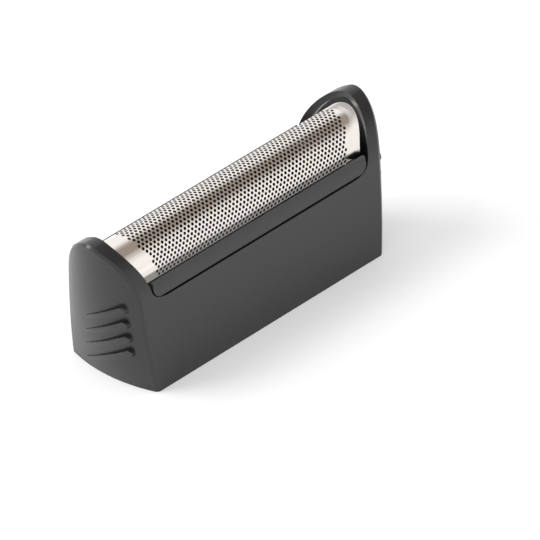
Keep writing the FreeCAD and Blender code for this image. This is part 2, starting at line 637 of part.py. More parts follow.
def draw_hexagon(sketch, across):
    """A regular hexagon round the origin with two corners on the sketch's first axis."""
    radius = value_of(sketch.Document, "(%s) / 2" % across)
    corners = [Vector(math.cos(step * math.pi / 3) * radius, math.sin(step * math.pi / 3) * radius, 0)
               for step in range(6)]
    for step in range(6):
        sketch.addGeometry(Part.LineSegment(corners[step], corners[(step + 1) % 6]))
    sketch.addGeometry(Part.Circle(Vector(), UP, radius), True)
    for step in range(6):
        tie(sketch, "Coincident", step, 2, (step + 1) % 6, 1)
        tie(sketch, "PointOnObject", step, 1, 6)
    for step in range(1, 6):
        tie(sketch, "Equal", 0, step)
    tie(sketch, "PointOnObject", 0, 1, AXIS["across"])
    tie(sketch, "Coincident", 6, 3, *ORIGIN)
    dimension(sketch, "circle", "Radius", 6, "(%s) / 2" % across)


def cell_row(body, name, first_row, columns, rows):
    """Every second row of perforations: one hole through the crown, repeated along and round the arch."""
    doc = body.Document
    sketch = body_sketch(body, name + "_cell", "XY_Plane")
    first_angle = "%d * cell_row_angle - (cell_rows - 1) / 2 * cell_row_angle" % first_row
    turned = Rotation(Vector(1, 0, 0), value_of(doc, first_angle))
    sketch.AttachmentOffset = Placement(Vector(0, 0, 0), turned)
    bind(sketch, "AttachmentOffset.Rotation.Angle", first_angle)
    bind(sketch, "AttachmentOffset.Base.x", "-(%s - 1) / 2 * cell_pitch" % columns)
    draw_hexagon(sketch, "cell_across")
    hole = body.newObject("PartDesign::Pocket", name + "_hole")
    hole.Profile = sketch
    hole.Reversed = True
    bind(hole, "Length", "foil_half_depth + foil_thickness")
    doc.recompute()
    many = body.newObject("PartDesign::MultiTransform", name)
    many.Originals = [hole]
    along = body.newObject("PartDesign::LinearPattern", name + "_along")
    along.Direction = (origin_feature(body, "X_Axis"), [""])
    bind(along, "Length", "(%s - 1) * cell_pitch" % columns)
    bind(along, "Occurrences", columns)
    around = body.newObject("PartDesign::PolarPattern", name + "_around")
    around.Axis = (origin_feature(body, "X_Axis"), [""])
    bind(around, "Angle", "2 * (%s - 1) * cell_row_angle" % rows)
    bind(around, "Occurrences", rows)
    many.Transformations = [along, around]
    body.Tip = many
    doc.recompute()


def notch_ends(body):
    """The legs end before the bulkheads, so a notch takes each of the foil's lower corners off."""
    doc = body.Document
    sketch = body_sketch(body, "notch", "XZ_Plane")
    bind(sketch, "AttachmentOffset.Base.x", "foil_half_length")
    bind(sketch, "AttachmentOffset.Base.y", "foil_edge - foil_axis")
    draw_rectangle(sketch, "foil_half_length - leg_half_length", "ring_top + notch_lift - foil_edge")
    notch = body.newObject("PartDesign::Pocket", "end_notch")
    notch.Profile = sketch
    notch.Type = "ThroughAll"
    notch.Midplane = True
    doc.recompute()
    both = body.newObject("PartDesign::Mirrored", "end_notches")
    both.Originals = [notch]
    both.MirrorPlane = (origin_feature(body, "YZ_Plane"), [""])
    body.Tip = both
    doc.recompute()


def make_foil(doc):
    """The foil lies round the X axis of its own frame, which is lifted to the crown arc's centre."""
    body = doc.addObject("PartDesign::Body", "foil_body")
    doc.recompute()
    section = body_sketch(body, "foil_section", "YZ_Plane")
    draw_foil_band(section)
    sheet = body.newObject("PartDesign::Pad", "foil_sheet")
    sheet.Profile = section
    sheet.Midplane = True
    bind(sheet, "Length", "2 * foil_half_length")
    doc.recompute()
    plan = body_sketch(body, "foil_plan", "XY_Plane")
    draw_bowed_plan(plan, "foil_half_length", "foil_bow", "foil_half_depth + foil_clearance")
    draw_rectangle(plan, "foil_half_length + foil_half_depth", "2 * foil_half_depth")
    ends = body.newObject("PartDesign::Pocket", "foil_ends")
    ends.Profile = plan
    ends.Type = "ThroughAll"
    ends.Midplane = True
    doc.recompute()
    notch_ends(body)
    cell_row(body, "outer_rows", 0, "cell_columns", "((cell_rows + 1) / 2)")
    cell_row(body, "between_rows", 1, "(cell_columns - 1)", "((cell_rows - 1) / 2)")
    slot = body_sketch(body, "stud_slot", "XZ_Plane")
    bind(slot, "AttachmentOffset.Base.x", "-(stud_count - 1) / 2 * stud_spacing")
    bind(slot, "AttachmentOffset.Base.y", "stud_height - foil_axis")
    draw_rectangle(slot, "(stud_length + foil_clearance) / 2", "(stud_thickness + foil_clearance) / 2")
    punched = body.newObject("PartDesign::Pocket", "stud_slots")
    punched.Profile = slot
    punched.Type = "ThroughAll"
    punched.Midplane = True
    doc.recompute()
    row = body.newObject("PartDesign::LinearPattern", "stud_slot_row")
    row.Originals = [punched]
    row.Direction = (origin_feature(body, "X_Axis"), [""])
    bind(row, "Length", "(stud_count - 1) * stud_spacing")
    bind(row, "Occurrences", "stud_count")
    body.Tip = row
    bind(body, "Placement.Base.z", "foil_axis")
    return body


# Build and write

def check(doc):
    for thing in doc.Objects:
        if "Invalid" in thing.State or "Error" in thing.State:
            raise RuntimeError("%s failed: %s" % (thing.Name, thing.State))
    for node in NODES:
        shape = doc.getObjectsByLabel(node)[0].Shape
        if shape.isNull() or not shape.isValid():
            raise RuntimeError("%s has no valid shape" % node)
        print(node, "solids", len(shape.Solids), "faces", len(shape.Faces), "volume", round(shape.Volume, 2),
              "box", shape.BoundBox)


def main():
    doc = FreeCAD.newDocument("shaver_foil_head")
    make_sheet(doc)
    makers = (make_outer_frame, make_foil_carrier, make_foil)
    for node, make in zip(NODES, makers):
        make(doc).Label = node
    doc.recompute()
    check(doc)
    os.makedirs("parts", exist_ok=True)
    for node in NODES:
        doc.getObjectsByLabel(node)[0].Shape.exportStep("parts/%s.step" % node)


main()
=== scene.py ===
# %% [markdown]
# A shaver foil head: a black moulded frame with raised end caps, a black carrier in its window, and a bright metal
# sheet with about sixteen hundred small holes, bent into an arch. This lesson gives the three pieces their looks.
# The construction comes packed from a CAD program, so it is loaded first. Nothing in it is moved: the lesson adds
# materials, one finer sheet of foil, a camera, a floor and light.

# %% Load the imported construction
import math

import bmesh
import bpy
from mathutils import Matrix, Vector


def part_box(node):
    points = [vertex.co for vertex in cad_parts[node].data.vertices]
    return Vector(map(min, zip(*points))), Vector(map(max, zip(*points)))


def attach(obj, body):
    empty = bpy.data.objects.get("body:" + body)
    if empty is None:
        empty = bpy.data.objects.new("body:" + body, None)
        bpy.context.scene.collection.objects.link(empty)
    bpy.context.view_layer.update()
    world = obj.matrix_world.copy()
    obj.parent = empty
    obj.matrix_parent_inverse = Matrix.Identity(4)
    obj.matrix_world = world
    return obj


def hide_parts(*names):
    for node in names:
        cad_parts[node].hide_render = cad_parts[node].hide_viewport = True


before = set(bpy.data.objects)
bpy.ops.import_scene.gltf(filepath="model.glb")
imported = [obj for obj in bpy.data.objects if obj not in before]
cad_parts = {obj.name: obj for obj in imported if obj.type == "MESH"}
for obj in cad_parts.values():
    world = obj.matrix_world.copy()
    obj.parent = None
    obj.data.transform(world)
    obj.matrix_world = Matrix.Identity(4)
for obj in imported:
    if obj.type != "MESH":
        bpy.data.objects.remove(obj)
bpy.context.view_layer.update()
MM = 0.001
print("pieces:", sorted(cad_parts))

# %% [markdown]
# The camera stands well back in front of the left end and above it. It could be placed by hand, but its direction is
# worked out from two angles and a slight roll instead, so that each can be changed alone. They were fitted to the
# frame's outline. The head isn't quite in the middle of the picture, so the aim is shifted by a number of pixels.

# %% The camera's directions
AZIMUTH = 0.8011
ELEVATION = 0.5764
ROLL = 0.0358
DISTANCE = 1.28150
FOCAL_PIXELS = 8685.7
OFF_MIDDLE = (40.95, 31.80)

right = Vector((math.cos(AZIMUTH), -math.sin(AZIMUTH), 0))
up = Vector((math.sin(AZIMUTH) * math.sin(ELEVATION), math.cos(AZIMUTH) * math.sin(ELEVATION), math.cos(ELEVATION)))
forward = right.cross(up) * -1
rolled_right = math.cos(ROLL) * right - math.sin(ROLL) * up
rolled_up = math.sin(ROLL) * right + math.cos(ROLL) * up
place = -forward * DISTANCE
aim = (forward * FOCAL_PIXELS + rolled_right * OFF_MIDDLE[0] + rolled_up * OFF_MIDDLE[1]).normalized()
camera_right = aim.cross(rolled_up).normalized()
camera_up = camera_right.cross(aim)
print("camera at", tuple(round(value, 3) for value in place))

# %% [markdown]
# Blender gives a lens in millimetres, for a sensor of a given width. The focal length is known in pixels of the
# picture, so it is scaled to the sensor. A lens as long as this one keeps the lines that run along the head almost
# parallel, as in a product photograph. The Standard view transform is chosen because it shows white paper as white.

# %% Camera
PICTURE_PIXELS = 540
SENSOR_WIDTH = 36
CLIP_NEAR = 0.01
CLIP_FAR = 20

camera_data = bpy.data.cameras.new("camera")
camera_data.sensor_width = SENSOR_WIDTH
camera_data.lens = FOCAL_PIXELS / PICTURE_PIXELS * SENSOR_WIDTH
camera_data.clip_start = CLIP_NEAR
camera_data.clip_end = CLIP_FAR
camera = bpy.data.objects.new("camera", camera_data)
turn = Matrix((camera_right, camera_up, -aim)).transposed()
camera.matrix_world = Matrix.Translation(place) @ turn.to_4x4()
bpy.context.collection.objects.link(camera)
bpy.context.scene.camera = camera
bpy.context.scene.view_settings.view_transform = "Standard"
print("lens %.1f mm" % camera_data.lens)

# %% [markdown]
# Light and materials are trees of nodes. Written out in full, a node takes a line for itself, one for each setting
# and one for each input. Two helpers keep that short: one adds a node with its settings and inputs, and the other
# adds one step of arithmetic and gives back its result.

# %% Helpers for node trees
def add_node(tree, kind, **settings):
    """Add a node, set its properties, and set or link its inputs by name or number."""
    node = tree.nodes.new(kind)
    for name, value in settings.pop("sockets", {}).items():
        if isinstance(value, bpy.types.NodeSocket):
            tree.links.new(value, node.inputs[name])
        else:
            node.inputs[name].default_value = value
    for name, value in settings.items():
        setattr(node, name, value)
    return node


def math_node(tree, operation, first, second=0.0):
    """Add one step of arithmetic and give back its result."""
    node = add_node(tree, "ShaderNodeMath", operation=operation, sockets={0: first, 1: second})
    return node.outputs[0]


print("helpers:", add_node.__name__, math_node.__name__)

# %% [markdown]
# The head stands on white paper under soft studio light. The world is the light tent: white all round, with one soft
# dark strip overhead where the camera and the room show through. Black plastic barely shows the strip, but the metal
# foil mirrors it as the brown-grey band below its crown. A dark card in the scene could do the same, but it would
# also throw a shadow. So the strip is part of the world: a range of angles round the head's long axis, measured from
# straight up. It is on the right only, so the end face on the left mirrors plain white.

# %% The tent's dark strip
STRIP_MIDDLE = math.radians(-22)
STRIP_CORE = math.radians(14)
STRIP_EDGE = math.radians(52)
STRIP_COLOUR = (0.33, 0.285, 0.25, 1)
STRIP_START = 0.05
STRIP_FULL = 0.35
WHITE = (1, 1, 1, 1)

world = bpy.data.worlds.new("light_tent")
bpy.context.scene.world = world
world.use_nodes = True
tree = world.node_tree
tree.nodes.clear()
directions = add_node(tree, "ShaderNodeTexCoord")
parts = add_node(tree, "ShaderNodeSeparateXYZ", sockets={"Vector": directions.outputs["Generated"]})
sideways = math_node(tree, "ARCTAN2", parts.outputs["Y"], parts.outputs["Z"])
off_strip = math_node(tree, "ABSOLUTE", math_node(tree, "SUBTRACT", sideways, STRIP_MIDDLE))
strip = add_node(tree, "ShaderNodeMapRange", interpolation_type="SMOOTHSTEP",
                 sockets={0: off_strip, 1: STRIP_CORE, 2: STRIP_EDGE, 3: 1.0, 4: 0.0})
rightward = add_node(tree, "ShaderNodeMapRange", sockets={0: parts.outputs["X"], 1: STRIP_START, 2: STRIP_FULL})
strip_share = math_node(tree, "MULTIPLY", strip.outputs[0], rightward.outputs[0])
mirrored = add_node(tree, "ShaderNodeMix", data_type="RGBA", sockets={0: strip_share, 6: WHITE, 7: STRIP_COLOUR})
print("strip %.0f degrees wide at its core" % math.degrees(2 * STRIP_CORE))

# %% [markdown]
# The tent doesn't look the same to every ray. The camera sees pure white behind the head. A mirrored ray sees white
# with the strip in it. A ray that only gathers light gets a dimmer white, because in a bright tent the shadow on the
# paper would fade away. The Light Path node says which kind of ray is asking.

# %% Light tent
TENT_LIGHT = 0.62

rays = add_node(tree, "ShaderNodeLightPath")
glow = add_node(tree, "ShaderNodeBackground", sockets={"Color": WHITE, "Strength": TENT_LIGHT})
seen = add_node(tree, "ShaderNodeBackground", sockets={"Color": WHITE, "Strength": 1.0})
shine = add_node(tree, "ShaderNodeBackground", sockets={"Color": mirrored.outputs[2], "Strength": 1.0})
lit = add_node(tree, "ShaderNodeMixShader",
               sockets={0: rays.outputs["Is Glossy Ray"], 1: glow.outputs[0], 2: shine.outputs[0]})
direct = math_node(tree, "MAXIMUM", rays.outputs["Is Camera Ray"], rays.outputs["Is Transmission Ray"])
tent = add_node(tree, "ShaderNodeMixShader", sockets={0: direct, 1: lit.outputs[0], 2: seen.outputs[0]})
add_node(tree, "ShaderNodeOutputWorld", sockets={"Surface": tent.outputs[0]})
print("light tent ready, strength", TENT_LIGHT)

# %% [markdown]
# One large soft lamp on the left, behind and above gives the shadow that falls to the right and to the front. It
# also makes the end face lighter than the long wall. A sun would give the direction too, but an area lamp stands
# near, so its light falls off over the paper as in a studio. Its size decides how soft the shadow's edge is.

# %% Lamp
LAMP_PLACE = Vector((-0.29, 0.28, 0.40))
LAMP_WIDTH = 0.30
LAMP_POWER = 1.6

lamp_data = bpy.data.lights.new("soft_lamp", "AREA")
lamp_data.shape = "SQUARE"
lamp_data.size = LAMP_WIDTH
lamp_data.energy = LAMP_POWER
lamp = bpy.data.objects.new("soft_lamp", lamp_data)
lamp.matrix_world = Matrix.Translation(LAMP_PLACE) @ (-LAMP_PLACE).to_track_quat("-Z", "Y").to_matrix().to_4x4()
bpy.context.collection.objects.link(lamp)
print("lamp at", tuple(round(value, 2) for value in LAMP_PLACE))

# %% [markdown]
# The paper is one wide flat face. A thick slab would look the same, because only its top is ever seen. It lies a
# little lower than the rim that stands on it, because two faces in the same place show through each other in patches.

# %% White paper
PAPER_SIZE = 6.0
PAPER_DROP = 0.02 * MM

paper_form = bmesh.new()
bmesh.ops.create_grid(paper_form, x_segments=1, y_segments=1, size=PAPER_SIZE / 2)
bmesh.ops.translate(paper_form, verts=paper_form.verts, vec=(0, 0, -PAPER_DROP))
paper_mesh = bpy.data.meshes.new("paper")
paper_form.to_mesh(paper_mesh)
paper_form.free()
paper = bpy.data.objects.new("paper", paper_mesh)
bpy.context.collection.objects.link(paper)
print("paper %.0f m wide" % PAPER_SIZE)

# %% [markdown]
# Paper reflects most of the light and has no shine. More light would turn it white, but it would also wash out the
# shadow. So the paper gets a little glow of its own, which only the camera and mirrors see: the lit paper reaches
# white while the shadow still shows.

# %% The paper's finish
PAPER_COLOUR = (0.93, 0.93, 0.93, 1)
PAPER_ROUGHNESS = 0.9
PAPER_GLOW = 0.27

paper_material = bpy.data.materials.new("paper")
paper_material.use_nodes = True
tree = paper_material.node_tree
tree.nodes.clear()
rays = add_node(tree, "ShaderNodeLightPath")
direct = math_node(tree, "MAXIMUM", rays.outputs["Is Camera Ray"], rays.outputs["Is Glossy Ray"])
own_light = math_node(tree, "MULTIPLY", direct, PAPER_GLOW)
surface = add_node(tree, "ShaderNodeBsdfPrincipled",
                   sockets={"Base Color": PAPER_COLOUR, "Roughness": PAPER_ROUGHNESS, "Specular IOR Level": 0.0,
                            "Emission Color": WHITE, "Emission Strength": own_light})
add_node(tree, "ShaderNodeOutputMaterial", sockets={"Surface": surface.outputs[0]})
paper_mesh.materials.append(paper_material)
print("paper glows by", PAPER_GLOW)

# %% [markdown]
# Moulded plastic is never quite even: the mould leaves a very fine grain, and the shine changes a little from place
# to place. Both plastic materials need this with their own grain size, so it is a node group with inputs instead of
# the same nodes twice. The group starts with its sockets.

# %% A shared group for moulded grain
GRAIN_INPUTS = {"Grain per metre": 3000.0, "Roughness middle": 0.45, "Roughness change": 0.05}

grain_group = bpy.data.node_groups.new("moulded_grain", "ShaderNodeTree")
sockets = grain_group.interface
sockets.new_socket("Vector", in_out="INPUT", socket_type="NodeSocketVector")
for name, value in GRAIN_INPUTS.items():
    sockets.new_socket(name, in_out="INPUT", socket_type="NodeSocketFloat").default_value = value
for name in ("Height", "Roughness"):
    sockets.new_socket(name, in_out="OUTPUT", socket_type="NodeSocketFloat")
given = grain_group.nodes.new("NodeGroupInput")
result = grain_group.nodes.new("NodeGroupOutput")
print("group", grain_group.name, "gives", [socket.name for socket in result.inputs if socket.name])

# %% [markdown]
# Inside the group, one fine noise is the grain's height and one coarse noise shifts the roughness up and down round
# its middle. Image textures could carry both, but noise needs no picture and fits any shape. It hangs on the object's
# own coordinates, so it stays with the piece.

# %% Grain and uneven shine
GRAIN_DETAIL = 3.0
CLOUDS_PER_METRE = 160.0
CLOUD_DETAIL = 2.0
NOISE_MIDDLE = 0.5

grain = add_node(grain_group, "ShaderNodeTexNoise",
                 sockets={"Vector": given.outputs["Vector"], "Scale": given.outputs["Grain per metre"],
                          "Detail": GRAIN_DETAIL})
clouds = add_node(grain_group, "ShaderNodeTexNoise",
                  sockets={"Vector": given.outputs["Vector"], "Scale": CLOUDS_PER_METRE, "Detail": CLOUD_DETAIL})
swing = math_node(grain_group, "SUBTRACT", clouds.outputs["Fac"], NOISE_MIDDLE)
change = math_node(grain_group, "MULTIPLY", swing, given.outputs["Roughness change"])
shine = math_node(grain_group, "ADD", math_node(grain_group, "MULTIPLY", change, 1 / NOISE_MIDDLE),
                  given.outputs["Roughness middle"])
grain_group.links.new(grain.outputs["Fac"], result.inputs["Height"])
grain_group.links.new(shine, result.inputs["Roughness"])
print(grain_group.name, "has", len(grain_group.nodes), "nodes")

# %% [markdown]
# The real foil mirrors little of the black parts beside it. So the plastic above the foil's foot glows as the tent
# does, but only for mirrored rays. The camera still sees it black. Near the caps' tops the glow is as dim as the dark
# strip, which lets the foil's band run on to the end of the sheet.

# %% A glow for mirrored rays only
FOOT_LOW = 15.15 * MM
FOOT_HIGH = 15.8 * MM
TOP_LOW = 20.6 * MM
TOP_HIGH = 22.0 * MM
TOP_SHARE = 0.5
MIRRORED_GLOW = 0.92


def mirrored_glow(tree, where):
    """The strength of the glow at a height above the rim, and nothing for rays from the camera."""
    parts = add_node(tree, "ShaderNodeSeparateXYZ", sockets={"Vector": where})
    above_foot = add_node(tree, "ShaderNodeMapRange", sockets={0: parts.outputs["Z"], 1: FOOT_LOW, 2: FOOT_HIGH})
    below_top = add_node(tree, "ShaderNodeMapRange",
                         sockets={0: parts.outputs["Z"], 1: TOP_LOW, 2: TOP_HIGH, 3: 1.0, 4: TOP_SHARE})
    rays = add_node(tree, "ShaderNodeLightPath")
    share = math_node(tree, "MULTIPLY", above_foot.outputs[0], below_top.outputs[0])
    mirrored = math_node(tree, "MULTIPLY", share, rays.outputs["Is Glossy Ray"])
    return math_node(tree, "MULTIPLY", mirrored, MIRRORED_GLOW)


print("glow from %.1f mm up" % (FOOT_LOW / MM))

# %% [markdown]
# Both black pieces are satin plastic, so one helper makes the two materials. They could share a single one, but the
# carrier is a separate moulding: its grain is finer and its black a little paler, which makes the strip under the
# foil a shade lighter than the wall round it.

# %% Black plastics
PLASTIC_IOR = 1.56
GRAIN_STRENGTH = 0.5


def black_plastic(name, colour, roughness, grain_per_metre, grain_depth):
    """A satin black with moulded grain, and a glow for mirrored rays."""
    material = bpy.data.materials.new(name)
    material.use_nodes = True
    tree = material.node_tree
    where = add_node(tree, "ShaderNodeTexCoord").outputs["Object"]
    grain = add_node(tree, "ShaderNodeGroup", node_tree=grain_group)
    tree.links.new(where, grain.inputs["Vector"])
    grain.inputs["Grain per metre"].default_value = grain_per_metre
    grain.inputs["Roughness middle"].default_value = roughness
    bump = add_node(tree, "ShaderNodeBump", sockets={"Strength": GRAIN_STRENGTH, "Distance": grain_depth,
                                                      "Height": grain.outputs["Height"]})
    shader = tree.nodes["Principled BSDF"]
    shader.inputs["Base Color"].default_value = colour
    shader.inputs["IOR"].default_value = PLASTIC_IOR
    shader.inputs["Emission Color"].default_value = WHITE
    tree.links.new(mirrored_glow(tree, where), shader.inputs["Emission Strength"])
    tree.links.new(grain.outputs["Roughness"], shader.inputs["Roughness"])
    tree.links.new(bump.outputs["Normal"], shader.inputs["Normal"])
    return material


def use_material(node_name, material):
    """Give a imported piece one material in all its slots."""
    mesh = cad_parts[node_name].data
    for index in range(max(1, len(mesh.materials))):
        if index < len(mesh.materials):
            mesh.materials[index] = material
        else:
            mesh.materials.append(material)


frame_plastic = black_plastic("frame_plastic", colour=(0.020, 0.020, 0.0215, 1), roughness=0.29,
                              grain_per_metre=3500, grain_depth=0.02 * MM)
carrier_plastic = black_plastic("carrier_plastic", colour=(0.026, 0.025, 0.026, 1), roughness=0.30,
                                grain_per_metre=4500, grain_depth=0.01 * MM)
use_material("outer_frame", frame_plastic)
use_material("foil_carrier", carrier_plastic)
print("black plastics:", frame_plastic.name, carrier_plastic.name)

# %% [markdown]
# The foil is rolled metal. It has almost no colour of its own: what it shows is the tent, warmed a little by the
# alloy. The rollers leave fine streaks along the head, which change the roughness slightly. A noise that is stretched
# along one axis makes them, since its scale is far lower along the head than across it.

# %% Rolled metal
FOIL_COLOUR = (0.93, 0.88, 0.83, 1)
STREAKS_PER_METRE = (40.0, 2500.0, 2500.0)
STREAK_DETAIL = 3.0
STREAK_RANGE = (0.3, 0.7)
FOIL_ROUGHNESS = (0.12, 0.17)

foil_metal = bpy.data.materials.new("foil_metal")
foil_metal.use_nodes = True
tree = foil_metal.node_tree
where = add_node(tree, "ShaderNodeTexCoord").outputs["Object"]
stretch = add_node(tree, "ShaderNodeMapping", sockets={"Vector": where, "Scale": STREAKS_PER_METRE})
streaks = add_node(tree, "ShaderNodeTexNoise",
                   sockets={"Vector": stretch.outputs[0], "Scale": 1.0, "Detail": STREAK_DETAIL})
blur = add_node(tree, "ShaderNodeMapRange",
                sockets={0: streaks.outputs["Fac"], 1: STREAK_RANGE[0], 2: STREAK_RANGE[1], 3: FOIL_ROUGHNESS[0],
                         4: FOIL_ROUGHNESS[1]})
shader = tree.nodes["Principled BSDF"]
shader.inputs["Base Color"].default_value = FOIL_COLOUR
shader.inputs["Metallic"].default_value = 1.0
tree.links.new(blur.outputs[0], shader.inputs["Roughness"])
use_material("foil", foil_metal)
print("outer face:", foil_metal.name)

# %% [markdown]
# The foil's inner face and the walls of its holes get a second material. On the real head they are bright too, but
# they mirror the dark inside of the shell. Here the plastic glows for mirrored rays, so bright metal would show that
# glow. So this material is painted shade: a dull metal, darkened to stand in for the shell's dark inside, keeps the
# holes black.

# %% The foil's inside
# Painted shade: the inner face's colour is darkened to stand in for the dark inside of the shell.
INSIDE_SHADE_COLOUR = (0.045, 0.042, 0.04, 1)
INSIDE_ROUGHNESS = 0.6

foil_inside_shade = bpy.data.materials.new("foil_inside_shade")
foil_inside_shade.use_nodes = True
inside_shade = foil_inside_shade.node_tree.nodes["Principled BSDF"]
inside_shade.inputs["Base Color"].default_value = INSIDE_SHADE_COLOUR
inside_shade.inputs["Metallic"].default_value = 1.0
inside_shade.inputs["Roughness"].default_value = INSIDE_ROUGHNESS
print("inner face:", foil_inside_shade.name)

# %% [markdown]
# The foil's holes are 0.52 mm wide in staggered rows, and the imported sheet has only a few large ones, so the sheet is
# made again. Cutting every hole from a plain sheet would be slow, so the sheet is built from cells instead. One cell
# is a hexagon with a round hole, since hexagons fit together without gaps. Their rows lie 1.5 radii apart, so the
# cell is squeezed a little to give the rows their pitch. The hole is closed with a plug for now: plugs are taken out
# later, only where the real sheet is perforated.

# %% One cell of the pattern
HOLE_PITCH = 0.80 * MM
ROW_PITCH = 0.60 * MM
HOLE_RADIUS = 0.262 * MM
HOLE_SIDES = 12
CELL_CORNERS = 6
CELL_RADIUS = HOLE_PITCH / math.sqrt(3)
ROW_IN_RADII = 1.5
CELL_SQUEEZE = ROW_PITCH / (ROW_IN_RADII * CELL_RADIUS)

sheet = bmesh.new()
bmesh.ops.create_circle(sheet, segments=CELL_CORNERS, radius=CELL_RADIUS)
bmesh.ops.scale(sheet, verts=sheet.verts, vec=(1, CELL_SQUEEZE, 1))
rim = bmesh.ops.create_circle(sheet, segments=HOLE_SIDES, radius=HOLE_RADIUS)
rim_edges = list(dict.fromkeys(edge for vert in rim["verts"] for edge in vert.link_edges))
bmesh.ops.bridge_loops(sheet, edges=sheet.edges[:])
bmesh.ops.edgeloop_fill(sheet, edges=rim_edges)
print("one cell has", len(sheet.faces), "faces, one of them the plug")

# %% [markdown]
# A row is the cell repeated along the head, and the sheet is the row repeated across it, every second row half a
# cell further along. An Array modifier could do it, but then the cells would still be apart when the sheet is cut
# and bent. Copying all there is doubles the count each time, so 64 cells take six copies. Then the corners that lie
# on each other are joined.

# %% Rows of cells
COLUMNS = 64
ROWS = 32
JOIN_DISTANCE = 0.005 * MM


def move_new(sheet, made, step):
    """Move the corners among the pieces that an operator has just made."""
    corners = [piece for piece in made["geom"] if isinstance(piece, bmesh.types.BMVert)]
    bmesh.ops.translate(sheet, verts=corners, vec=step)


def repeat(sheet, step, count):
    """Repeat what is in the sheet along a step, by doubling, until there are this many."""
    have = 1
    while have < count:
        made = bmesh.ops.duplicate(sheet, geom=sheet.verts[:] + sheet.edges[:] + sheet.faces[:])
        move_new(sheet, made, step * have)
        have *= 2


repeat(sheet, Vector((HOLE_PITCH, 0, 0)), COLUMNS)
repeat(sheet, Vector((HOLE_PITCH / 2, ROW_PITCH, 0)), 2)
repeat(sheet, Vector((0, 2 * ROW_PITCH, 0)), ROWS // 2)
bmesh.ops.remove_doubles(sheet, verts=sheet.verts, dist=JOIN_DISTANCE)
middle = Vector(((COLUMNS - 1) / 2 * HOLE_PITCH, (ROWS - 1) / 2 * ROW_PITCH, 0))
bmesh.ops.translate(sheet, verts=sheet.verts, vec=-middle)
print(COLUMNS * ROWS, "cells,", len(sheet.faces), "faces")

# %% [markdown]
# The bent foil's cross-section is an arch: a tight arc at the crown, a wider one on each side, and a straight leg
# below each of those. A curve object could hold it, but then nothing would say where a hole comes to lie. So the
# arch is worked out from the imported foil's box and three sizes of its own.

# %% The arch's measures
SIDE_RADIUS = 6.28 * MM
CROWN_TURN = math.radians(47)
LEG_LENGTH = 3.859 * MM

half_length, half_depth, crown_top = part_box("foil")[1]
side_middle = half_depth - SIDE_RADIUS
crown_radius = SIDE_RADIUS + side_middle / math.sin(CROWN_TURN)
crown_middle = crown_top - crown_radius
side_rise = crown_middle - (SIDE_RADIUS - crown_radius) * math.cos(CROWN_TURN)
crown_reach = crown_radius * CROWN_TURN
side_reach = crown_reach + SIDE_RADIUS * (math.pi / 2 - CROWN_TURN)
sheet_reach = side_reach + LEG_LENGTH
print("crown radius %.2f mm, half width %.2f mm flat" % (crown_radius / MM, sheet_reach / MM))

# %% [markdown]
# A point's distance from the crown line, measured along the sheet, says which arc it comes to lie on, and where. In
# plan both ends of the foil are bowed like the end caps, so the distance to the end depends on how far out the point
# lies.

# %% From the flat sheet to the arch
END_BOW = 5.55 * MM


def arch_point(across):
    """Where a point of the flat sheet comes to lie in the cross-section."""
    reach = abs(across)
    if reach < crown_reach:
        turn = reach / crown_radius
        out, rise = crown_radius * math.sin(turn), crown_middle + crown_radius * math.cos(turn)
    elif reach < side_reach:
        turn = CROWN_TURN + (reach - crown_reach) / SIDE_RADIUS
        out, rise = side_middle + SIDE_RADIUS * math.sin(turn), side_rise + SIDE_RADIUS * math.cos(turn)
    else:
        out, rise = half_depth, side_rise - (reach - side_reach)
    return math.copysign(out, across), rise


def end_distance(across):
    """How far from the middle the sheet ends, at a distance from its crown line."""
    out = arch_point(across)[0]
    return half_length - END_BOW + math.sqrt(END_BOW ** 2 - out ** 2)


print("the ends bow out by %.2f mm" % ((end_distance(0) - end_distance(sheet_reach)) / MM))

# %% [markdown]
# The perforated field stops short of the sheet's bowed ends and follows their curve, and it stops before the notched
# lower corners. The plain border is wider on the left than on the right. Taking out the plugs inside those limits
# punches the holes. The outermost row keeps its plugs, because the block of cells is cut through it in the next step.

# %% Punched field
LEFT_BORDER = 5.1 * MM
RIGHT_BORDER = 2.9 * MM
NOTCH_LENGTH = 21.4 * MM
NOTCH_REACH = 8.459 * MM
NOTCH_MARGIN = HOLE_PITCH * 0.8
BLOCK_REACH = (ROWS - 1) / 2 * ROW_PITCH + CELL_RADIUS * CELL_SQUEEZE / 2


def in_field(spot):
    """Whether a hole belongs at a spot of the flat sheet."""
    near_notch = abs(spot.x) > NOTCH_LENGTH - NOTCH_MARGIN and abs(spot.y) > NOTCH_REACH
    outermost = abs(spot.y) > BLOCK_REACH - ROW_PITCH / 2
    reach = end_distance(spot.y)
    return LEFT_BORDER - reach < spot.x < reach - RIGHT_BORDER and not near_notch and not outermost


plugs = [face for face in sheet.faces if len(face.verts) == HOLE_SIDES and in_field(face.calc_center_median())]
bmesh.ops.delete(sheet, geom=plugs, context="FACES_ONLY")
print(len(plugs), "holes punched,", len(sheet.faces), "faces left")

# %% [markdown]
# A block of hexagons has ragged edges. Planes cut them straight, so that plain strips can join on. A plane that cuts
# the whole sheet would be slow, so each one gets only the cells near it.

# %% Straight edges for the block
BLOCK_LENGTH = 31 * HOLE_PITCH
CUT_TOLERANCE = 0.002 * MM


def faces_where(sheet, test):
    """The faces whose middle passes a test."""
    return [face for face in sheet.faces if test(face.calc_center_median())]


def part_of(sheet, test):
    """The faces whose middle passes a test, with their edges and corners."""
    faces = faces_where(sheet, test)
    edges = list(dict.fromkeys(edge for face in faces for edge in face.edges))
    return list(dict.fromkeys(vert for edge in edges for vert in edge.verts)) + edges + faces


def cut(sheet, part, point, outward, drop=True):
    """Cut a part of the sheet with a plane, and drop what lies beyond it."""
    bmesh.ops.bisect_plane(sheet, geom=part, dist=CUT_TOLERANCE, plane_co=point, plane_no=outward, clear_outer=drop)


